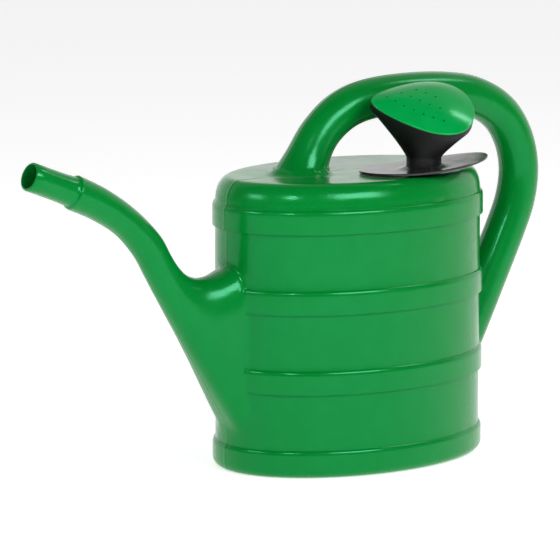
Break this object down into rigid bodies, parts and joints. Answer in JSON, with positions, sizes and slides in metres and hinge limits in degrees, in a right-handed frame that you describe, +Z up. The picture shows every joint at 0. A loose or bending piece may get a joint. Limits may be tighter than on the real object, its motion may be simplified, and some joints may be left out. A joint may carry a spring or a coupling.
{
  "type": "watering can",
  "caption": "Oval garden watering can with raised bands, a loop handle and a swan-neck spout; its pull-off rose stands in a slitted lid plate over the filler opening.",
  "frame": {"origin": "middle of the tank's flat underside", "axes": "+Z up; the spout points along -X and the handle is on the +X side, both in the plane Y = 0"},
  "size_m": [0.5754, 0.1996, 0.362],
  "materials": {
    "can_green": "semi-gloss blow-moulded polyethylene, softly mottled, with faint scuffs",
    "face_green": "smooth semi-gloss injection-moulded plastic",
    "funnel_black": "satin black injection-moulded plastic",
    "plate_black": "flexible black sheet with a dull sheen"
  },
  "bodies": {
    "can": {"tank": "can_green", "handle": "can_green", "spout": "can_green", "spout_end": "can_green"},
    "lid": {"lid_plate": "plate_black"},
    "rose": {"rose_funnel": "funnel_black"},
    "rose_cap": {"rose_face": "face_green"}
  },
  "joints": [
    {"name": "plate_lift", "type": "slide", "parent": "can", "child": "lid", "axis": [0, 0, 1], "range_m": [0, 0.028]},
    {"name": "rose_pull", "type": "slide", "parent": "lid", "child": "rose", "axis": [0, 0, 1], "range_m": [0, 0.06]},
    {"name": "face_pull", "type": "slide", "parent": "rose", "child": "rose_cap", "axis": [-0.1592, -0.5208, 0.8387], "range_m": [0, 0.02]}
  ]
}
